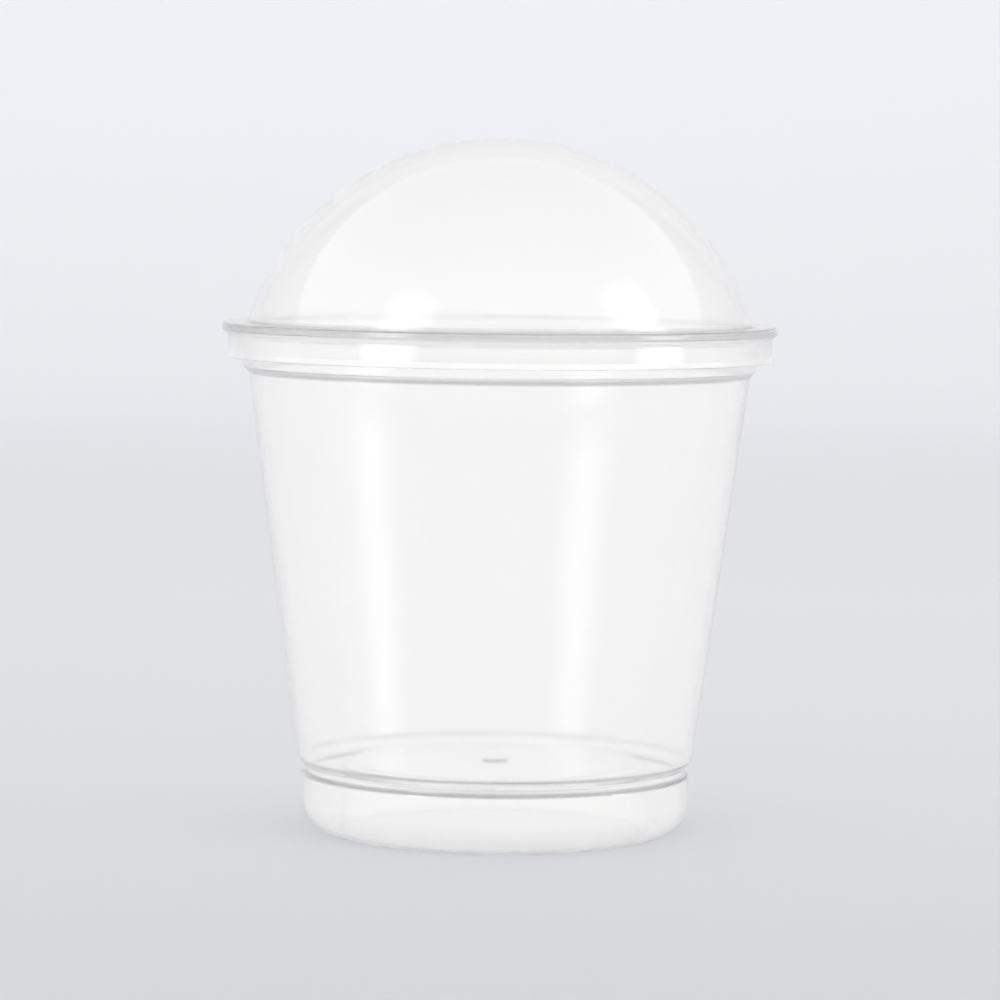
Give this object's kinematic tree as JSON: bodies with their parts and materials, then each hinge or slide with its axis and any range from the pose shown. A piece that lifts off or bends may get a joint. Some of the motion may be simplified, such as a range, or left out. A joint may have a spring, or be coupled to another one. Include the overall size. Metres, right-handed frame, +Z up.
{
  "type": "clear plastic cup with dome lid",
  "caption": "Clear tapered drink cup with a rolled rim, shoulder, stacking ledge and raised floor, closed by a dome lid that grips the rim.",
  "frame": {"origin": "centre of the cup's axis on the plane the standing ring rests on", "axes": "+Z up along the axis of the cup and lid; X and Y are any two directions across it, because both pieces are round"},
  "size_m": [0.098, 0.098, 0.1227],
  "materials": {
    "clear_cup": "clear, glossy thermoformed sheet",
    "clear_lid": "clear, glossy thermoformed sheet"
  },
  "bodies": {
    "cup": {"cup": "clear_cup"},
    "lid": {"dome_lid": "clear_lid"}
  },
  "joints": [
    {"name": "lid_lift", "type": "slide", "parent": "cup", "child": "lid", "axis": [0, 0, 1], "range_m": [0, 0.08]}
  ]
}
